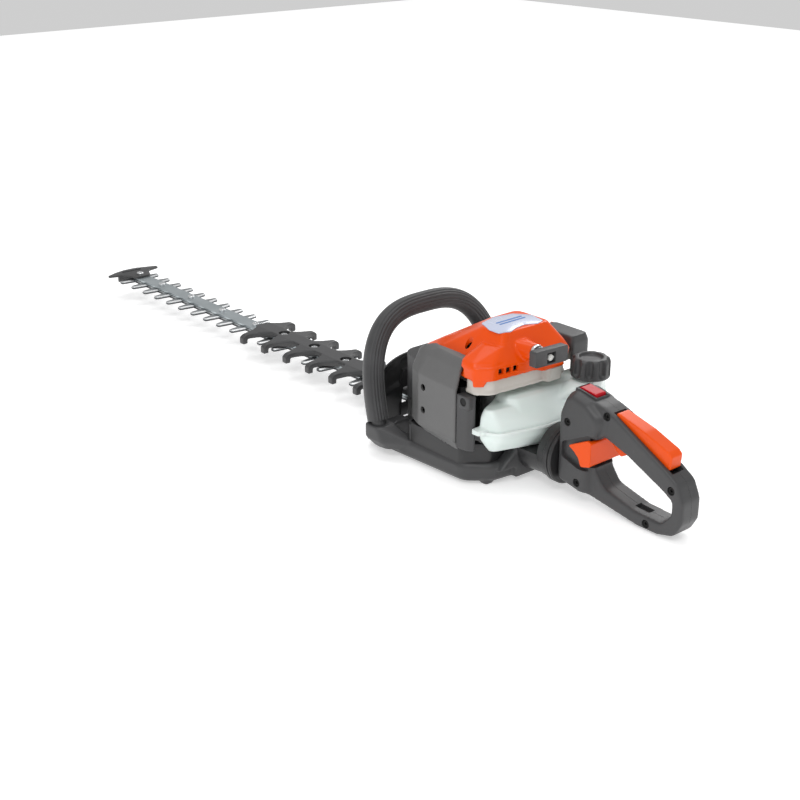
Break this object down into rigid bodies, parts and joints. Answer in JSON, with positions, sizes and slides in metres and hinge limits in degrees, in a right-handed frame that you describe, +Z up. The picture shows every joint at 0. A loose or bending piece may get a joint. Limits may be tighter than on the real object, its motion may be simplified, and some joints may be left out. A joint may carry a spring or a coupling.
{
  "type": "hedge trimmer",
  "caption": "Petrol hedge trimmer with a long double-sided reciprocating cutter bar, looped front handle and turning rear handle.",
  "frame": {"origin": "on the floor under the middle of the trimmer's outer box", "axes": "+X along the cutter bar to its tip, +Y to the user's left, +Z up"},
  "size_m": [1.194, 0.238, 0.1864],
  "materials": {
    "bar_steel": "satin",
    "blade_steel": "ground",
    "dark_steel": "blued",
    "bright_steel": "zinc plated",
    "black_screws": "black oxide",
    "charcoal_plastic": "fine grained",
    "black_plastic": "satin",
    "grey_plastic": "fine grained",
    "cast_alloy": "cast",
    "cylinder_alloy": "cast",
    "muffler_steel": "heat stained",
    "orange_plastic": "gloss",
    "red_plastic": "satin",
    "housing_plastic": "satin",
    "label_film": "gloss film",
    "tank_plastic": "translucent",
    "soft_rubber": "matte",
    "primer_rubber": "clear red",
    "handle_tube": "powder coated",
    "filter_foam": "foam",
    "white_ceramic": "glazed"
  },
  "bodies": {
    "powerhead": {"guide_bar": "bar_steel", "blade_bolts": "bright_steel", "blade_nuts": "bright_steel", "tip_guard": "charcoal_plastic", "finger_guard": "charcoal_plastic", "gearcase_lower": "cast_alloy", "gearcase_upper": "cast_alloy", "ball_bearings": "bright_steel", "clutch_housing": "cast_alloy", "crankcase": "cast_alloy", "engine_cylinder": "cylinder_alloy", "spark_plug": "white_ceramic", "ignition_coil": "black_plastic", "rope_bushing": "charcoal_plastic", "fan_housing": "housing_plastic", "engine_cover": "orange_plastic", "label_plate": "label_film", "cylinder_cover": "charcoal_plastic", "muffler": "muffler_steel", "muffler_cover": "grey_plastic", "side_panel": "charcoal_plastic", "cover_screws": "bright_steel", "carburettor": "cast_alloy", "air_filter": "filter_foam", "air_filter_cover": "charcoal_plastic", "fuel_tank": "tank_plastic", "frame_bow": "charcoal_plastic", "rubber_mounts": "soft_rubber", "hand_shield": "black_plastic", "front_handle": "handle_tube", "front_grip": "soft_rubber", "handle_pivot_ring": "black_plastic"},
    "upper_blade_set": {"upper_blade": "blade_steel", "upper_blade_yoke": "blade_steel"},
    "lower_blade_set": {"lower_blade": "dark_steel", "lower_blade_yoke": "dark_steel"},
    "gear_set": {"drive_gear": "dark_steel", "eccentric_shaft": "dark_steel"},
    "clutch_output": {"clutch_drum": "dark_steel"},
    "crank_set": {"crankshaft": "bright_steel", "flywheel": "cast_alloy", "clutch_shoes": "dark_steel", "clutch_spring": "bright_steel"},
    "piston_set": {"piston": "cast_alloy", "gudgeon_pin": "bright_steel", "connecting_rod": "bright_steel"},
    "pulley": {"starter_pulley": "charcoal_plastic"},
    "pull_grip": {"starter_handle": "charcoal_plastic", "starter_rope": "black_plastic"},
    "cap": {"fuel_cap": "black_plastic"},
    "choke": {"choke_lever": "orange_plastic"},
    "primer": {"primer_bulb": "primer_rubber"},
    "rear_handle": {"rear_handle_left": "charcoal_plastic", "rear_handle_right": "charcoal_plastic", "handle_screws": "black_screws"},
    "trigger": {"throttle_trigger": "orange_plastic"},
    "lockout": {"throttle_lockout": "orange_plastic"},
    "switch": {"stop_switch": "red_plastic"},
    "latch": {"handle_latch": "orange_plastic"}
  },
  "joints": [
    {"name": "upper_blade_slide", "type": "slide", "parent": "powerhead", "child": "upper_blade_set", "axis": [1, 0, 0], "range_m": [-0.009, 0.009]},
    {"name": "lower_blade_slide", "type": "slide", "parent": "powerhead", "child": "lower_blade_set", "axis": [1, 0, 0], "range_m": [-0.009, 0.009]},
    {"name": "drive_gear_spin", "type": "hinge", "parent": "powerhead", "child": "gear_set", "pos_m": [-0.232, 0, 0.0445], "axis": [0, 0, 1], "continuous": true},
    {"name": "clutch_drum_spin", "type": "hinge", "parent": "powerhead", "child": "clutch_output", "pos_m": [-0.292, 0, 0.0445], "axis": [0, 0, 1], "continuous": true},
    {"name": "crankshaft_spin", "type": "hinge", "parent": "powerhead", "child": "crank_set", "pos_m": [-0.292, 0, 0.0945], "axis": [0, 0, 1], "continuous": true},
    {"name": "piston_slide", "type": "slide", "parent": "powerhead", "child": "piston_set", "axis": [-1, 0, 0], "range_m": [0, 0.026]},
    {"name": "starter_pull", "type": "slide", "parent": "powerhead", "child": "pull_grip", "axis": [-1, 0, 0], "range_m": [0, 0.08], "stiffness_N_per_m": 20, "springref_m": -0.05},
    {"name": "starter_pulley_spin", "type": "hinge", "parent": "powerhead", "child": "pulley", "pos_m": [-0.292, 0, 0.1645], "axis": [0, 0, 1], "range_deg": [0, 240]},
    {"name": "fuel_cap_turn", "type": "hinge", "parent": "powerhead", "child": "cap", "pos_m": [-0.389, -0.057, 0.134], "axis": [0, 0, 1], "range_deg": [0, 360]},
    {"name": "choke_turn", "type": "hinge", "parent": "powerhead", "child": "choke", "pos_m": [-0.284, -0.1015, 0.132], "axis": [0, 1, 0], "range_deg": [0, 60]},
    {"name": "primer_press", "type": "slide", "parent": "powerhead", "child": "primer", "axis": [0, 1, 0], "range_m": [0, 0.0015], "stiffness_N_per_m": 800},
    {"name": "rear_handle_turn", "type": "hinge", "parent": "powerhead", "child": "rear_handle", "pos_m": [-0.416, 0, 0.045], "axis": [1, 0, 0], "range_deg": [-90, 90]},
    {"name": "trigger_squeeze", "type": "hinge", "parent": "rear_handle", "child": "trigger", "pos_m": [-0.474, 0, 0.108], "axis": [0, 1, 0], "range_deg": [0, 12], "stiffness_Nm_per_rad": 0.6, "springref_deg": -5.73},
    {"name": "lockout_press", "type": "hinge", "parent": "rear_handle", "child": "lockout", "pos_m": [-0.493, 0, 0.118], "axis": [0, -1, 0], "range_deg": [0, 5], "stiffness_Nm_per_rad": 1.5, "springref_deg": -5.73},
    {"name": "switch_rock", "type": "hinge", "parent": "rear_handle", "child": "switch", "pos_m": [-0.443, 0, 0.128], "axis": [0, 1, 0], "range_deg": [0, 10]},
    {"name": "latch_slide", "type": "slide", "parent": "rear_handle", "child": "latch", "axis": [-1, 0, 0], "range_m": [0, 0.006], "stiffness_N_per_m": 600, "springref_m": -0.002}
  ],
  "couplings": [
    {"joint": "lower_blade_slide", "follows": "upper_blade_slide", "ratio": -1},
    {"joint": "clutch_drum_spin", "follows": "drive_gear_spin", "ratio": -4},
    {"joint": "starter_pulley_spin", "follows": "starter_pull", "rad_per_m": 51}
  ]
}
